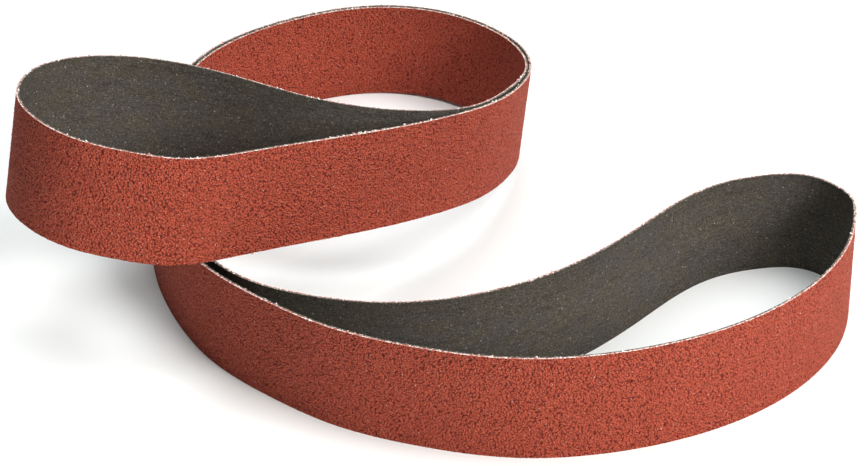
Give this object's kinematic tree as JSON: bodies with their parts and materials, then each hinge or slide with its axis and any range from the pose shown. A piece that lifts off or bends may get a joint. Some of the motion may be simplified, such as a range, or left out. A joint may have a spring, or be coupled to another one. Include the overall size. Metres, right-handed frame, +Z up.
{
  "type": "sanding belt",
  "caption": "Endless cloth-backed sanding belt with a red ceramic grain coat, standing on its edge and squeezed into two loops.",
  "frame": {"origin": "middle of the belt's outline in plan, at the level of the edge it stands on", "axes": "+X along the two loops toward the low loop's free end, +Y away from the low loop's front, +Z up across the belt's width"},
  "size_m": [0.3828, 0.3322, 0.1203],
  "materials": {
    "cloth": "dark grey-brown finished polyester cloth, faint lengthwise weave, dry and matte",
    "grain": "coarse red ceramic grain in red resin, rough and matte with small glints"
  },
  "bodies": {
    "root": {"cloth_backing": "cloth", "abrasive_coat": "grain"}
  },
  "joints": []
}
